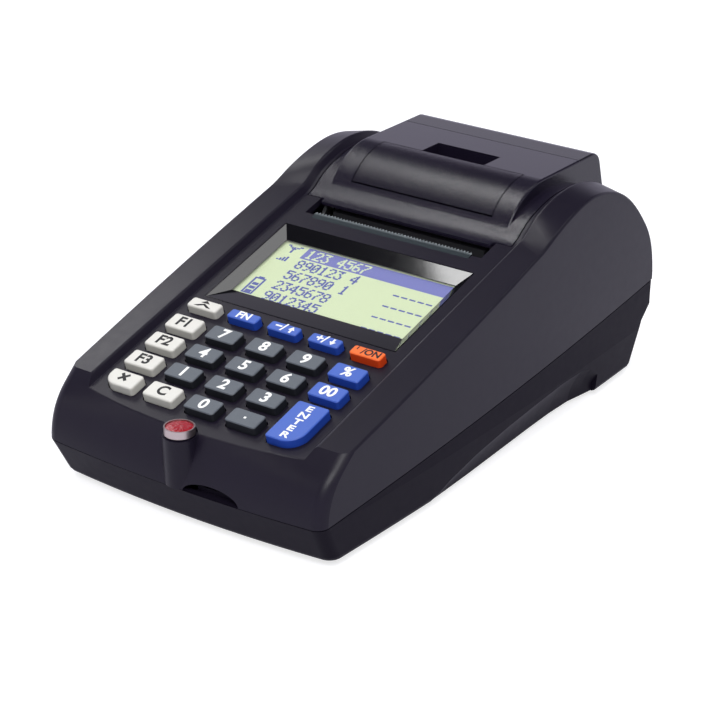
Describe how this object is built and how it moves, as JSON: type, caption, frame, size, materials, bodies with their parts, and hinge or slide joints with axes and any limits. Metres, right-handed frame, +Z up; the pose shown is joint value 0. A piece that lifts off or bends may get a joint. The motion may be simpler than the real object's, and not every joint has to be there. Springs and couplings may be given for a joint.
{
  "type": "portable cash register",
  "caption": "Wedge-shaped portable till with keypad, sloped display, hinged paper cover with release flap, geared receipt printer and a sealed screw at the nose.",
  "frame": {"origin": "centre of the outline at the table, under the feet", "axes": "+Z up, +Y from the keypad's nose to the rear, +X to the right of a person who faces the keys"},
  "size_m": [0.107, 0.1936, 0.0765],
  "materials": {
    "shell_plastic": "fine-grained black ABS",
    "cover_plastic": "glossy black ABS",
    "key_grey": "satin",
    "key_blue": "satin",
    "key_white": "satin",
    "key_orange": "satin",
    "bezel_plastic": "glossy black",
    "window": "clear acrylic",
    "lcd": "satin",
    "rubber": "matt",
    "silicone": "translucent matt",
    "board": "green solder mask",
    "component": "moulded",
    "steel": "zinc plated",
    "spring_steel": "bright",
    "bronze": "sintered",
    "gear_plastic": "natural acetal",
    "seal": "red sealing compound",
    "seal_cup": "thin drawn cup",
    "battery": "shrink sleeve",
    "card": "satin"
  },
  "bodies": {
    "housing": {"base_shell": "shell_plastic", "battery_pack": "battery", "card_socket": "steel", "case_screws": "steel", "data_socket": "component", "display_bezel": "bezel_plastic", "display_window": "window", "fiscal_memory": "component", "head_spring": "spring_steel", "hinge_pin": "steel", "io_board": "board", "key_mat": "silicone", "keypad_board": "board", "lcd_module": "lcd", "main_board": "board", "memory_card": "card", "paper_bay": "shell_plastic", "power_socket": "component", "print_head": "component", "printer_frame": "steel", "rubber_feet": "rubber", "seal_cup": "seal_cup", "seal_wax": "seal", "stepper_motor": "steel", "tear_bar": "steel", "upper_shell": "shell_plastic"},
    "cover": {"paper_cover": "cover_plastic", "platen_bushes": "bronze", "latch_spring": "spring_steel"},
    "flap": {"release_flap": "cover_plastic", "latch_shaft": "steel"},
    "platen": {"platen_shaft": "steel", "platen_roller": "rubber", "platen_gear": "gear_plastic"},
    "idler": {"idler_gear": "gear_plastic"},
    "pinion": {"motor_pinion": "gear_plastic"},
    "key_0_cap": {"key_0": "key_grey"},
    "key_1_cap": {"key_1": "key_grey"},
    "key_2_cap": {"key_2": "key_grey"},
    "key_3_cap": {"key_3": "key_grey"},
    "key_4_cap": {"key_4": "key_grey"},
    "key_5_cap": {"key_5": "key_grey"},
    "key_6_cap": {"key_6": "key_grey"},
    "key_7_cap": {"key_7": "key_grey"},
    "key_8_cap": {"key_8": "key_grey"},
    "key_9_cap": {"key_9": "key_grey"},
    "key_clear_cap": {"key_clear": "key_white"},
    "key_down_cap": {"key_down": "key_blue"},
    "key_enter_cap": {"key_enter": "key_blue"},
    "key_f1_cap": {"key_f1": "key_white"},
    "key_f2_cap": {"key_f2": "key_white"},
    "key_f3_cap": {"key_f3": "key_white"},
    "key_feed_cap": {"key_feed": "key_white"},
    "key_function_cap": {"key_function": "key_blue"},
    "key_percent_cap": {"key_percent": "key_blue"},
    "key_point_cap": {"key_point": "key_grey"},
    "key_power_cap": {"key_power": "key_orange"},
    "key_subtotal_cap": {"key_subtotal": "key_blue"},
    "key_times_cap": {"key_times": "key_white"},
    "key_up_cap": {"key_up": "key_blue"}
  },
  "joints": [
    {"name": "key_0_press", "type": "slide", "parent": "housing", "child": "key_0_cap", "axis": [0, 0.2706, -0.9627], "range_m": [0, 0.0012], "stiffness_N_per_m": 700, "springref_m": -0.0006},
    {"name": "key_1_press", "type": "slide", "parent": "housing", "child": "key_1_cap", "axis": [0, 0.2706, -0.9627], "range_m": [0, 0.0012], "stiffness_N_per_m": 700, "springref_m": -0.0006},
    {"name": "key_2_press", "type": "slide", "parent": "housing", "child": "key_2_cap", "axis": [0, 0.2706, -0.9627], "range_m": [0, 0.0012], "stiffness_N_per_m": 700, "springref_m": -0.0006},
    {"name": "key_3_press", "type": "slide", "parent": "housing", "child": "key_3_cap", "axis": [0, 0.2706, -0.9627], "range_m": [0, 0.0012], "stiffness_N_per_m": 700, "springref_m": -0.0006},
    {"name": "key_4_press", "type": "slide", "parent": "housing", "child": "key_4_cap", "axis": [0, 0.2706, -0.9627], "range_m": [0, 0.0012], "stiffness_N_per_m": 700, "springref_m": -0.0006},
    {"name": "key_5_press", "type": "slide", "parent": "housing", "child": "key_5_cap", "axis": [0, 0.2706, -0.9627], "range_m": [0, 0.0012], "stiffness_N_per_m": 700, "springref_m": -0.0006},
    {"name": "key_6_press", "type": "slide", "parent": "housing", "child": "key_6_cap", "axis": [0, 0.2706, -0.9627], "range_m": [0, 0.0012], "stiffness_N_per_m": 700, "springref_m": -0.0006},
    {"name": "key_7_press", "type": "slide", "parent": "housing", "child": "key_7_cap", "axis": [0, 0.2706, -0.9627], "range_m": [0, 0.0012], "stiffness_N_per_m": 700, "springref_m": -0.0006},
    {"name": "key_8_press", "type": "slide", "parent": "housing", "child": "key_8_cap", "axis": [0, 0.2706, -0.9627], "range_m": [0, 0.0012], "stiffness_N_per_m": 700, "springref_m": -0.0006},
    {"name": "key_9_press", "type": "slide", "parent": "housing", "child": "key_9_cap", "axis": [0, 0.2706, -0.9627], "range_m": [0, 0.0012], "stiffness_N_per_m": 700, "springref_m": -0.0006},
    {"name": "key_clear_press", "type": "slide", "parent": "housing", "child": "key_clear_cap", "axis": [0, 0.2706, -0.9627], "range_m": [0, 0.0012], "stiffness_N_per_m": 700, "springref_m": -0.0006},
    {"name": "key_down_press", "type": "slide", "parent": "housing", "child": "key_down_cap", "axis": [0, 0.2706, -0.9627], "range_m": [0, 0.0012], "stiffness_N_per_m": 700, "springref_m": -0.0006},
    {"name": "key_enter_press", "type": "slide", "parent": "housing", "child": "key_enter_cap", "axis": [0, 0.2706, -0.9627], "range_m": [0, 0.0012], "stiffness_N_per_m": 700, "springref_m": -0.0006},
    {"name": "key_f1_press", "type": "slide", "parent": "housing", "child": "key_f1_cap", "axis": [0, 0.2706, -0.9627], "range_m": [0, 0.0012], "stiffness_N_per_m": 700, "springref_m": -0.0006},
    {"name": "key_f2_press", "type": "slide", "parent": "housing", "child": "key_f2_cap", "axis": [0, 0.2706, -0.9627], "range_m": [0, 0.0012], "stiffness_N_per_m": 700, "springref_m": -0.0006},
    {"name": "key_f3_press", "type": "slide", "parent": "housing", "child": "key_f3_cap", "axis": [0, 0.2706, -0.9627], "range_m": [0, 0.0012], "stiffness_N_per_m": 700, "springref_m": -0.0006},
    {"name": "key_feed_press", "type": "slide", "parent": "housing", "child": "key_feed_cap", "axis": [0, 0.2706, -0.9627], "range_m": [0, 0.0012], "stiffness_N_per_m": 700, "springref_m": -0.0006},
    {"name": "key_function_press", "type": "slide", "parent": "housing", "child": "key_function_cap", "axis": [0, 0.2706, -0.9627], "range_m": [0, 0.0012], "stiffness_N_per_m": 700, "springref_m": -0.0006},
    {"name": "key_percent_press", "type": "slide", "parent": "housing", "child": "key_percent_cap", "axis": [0, 0.2706, -0.9627], "range_m": [0, 0.0012], "stiffness_N_per_m": 700, "springref_m": -0.0006},
    {"name": "key_point_press", "type": "slide", "parent": "housing", "child": "key_point_cap", "axis": [0, 0.2706, -0.9627], "range_m": [0, 0.0012], "stiffness_N_per_m": 700, "springref_m": -0.0006},
    {"name": "key_power_press", "type": "slide", "parent": "housing", "child": "key_power_cap", "axis": [0, 0.2706, -0.9627], "range_m": [0, 0.0012], "stiffness_N_per_m": 700, "springref_m": -0.0006},
    {"name": "key_subtotal_press", "type": "slide", "parent": "housing", "child": "key_subtotal_cap", "axis": [0, 0.2706, -0.9627], "range_m": [0, 0.0012], "stiffness_N_per_m": 700, "springref_m": -0.0006},
    {"name": "key_times_press", "type": "slide", "parent": "housing", "child": "key_times_cap", "axis": [0, 0.2706, -0.9627], "range_m": [0, 0.0012], "stiffness_N_per_m": 700, "springref_m": -0.0006},
    {"name": "key_up_press", "type": "slide", "parent": "housing", "child": "key_up_cap", "axis": [0, 0.2706, -0.9627], "range_m": [0, 0.0012], "stiffness_N_per_m": 700, "springref_m": -0.0006},
    {"name": "cover_hinge", "type": "hinge", "parent": "housing", "child": "cover", "pos_m": [0, 0.084, 0.0555], "axis": [-1, 0, 0], "range_deg": [0, 80]},
    {"name": "flap_hinge", "type": "hinge", "parent": "cover", "child": "flap", "pos_m": [0, 0.0353, 0.0679], "axis": [1, 0, 0], "range_deg": [0, 22], "stiffness_Nm_per_rad": 0.03, "springref_deg": -17.19},
    {"name": "platen_spin", "type": "hinge", "parent": "cover", "child": "platen", "pos_m": [0, 0.0305, 0.0573], "axis": [1, 0, 0], "continuous": true},
    {"name": "idler_spin", "type": "hinge", "parent": "housing", "child": "idler", "pos_m": [0, 0.0305, 0.04514], "axis": [1, 0, 0], "continuous": true},
    {"name": "pinion_spin", "type": "hinge", "parent": "housing", "child": "pinion", "pos_m": [0, 0.02255, 0.03915], "axis": [1, 0, 0], "continuous": true}
  ],
  "couplings": [
    {"joint": "idler_spin", "follows": "platen_spin", "ratio": -0.83333},
    {"joint": "pinion_spin", "follows": "platen_spin", "ratio": 1.6667}
  ]
}
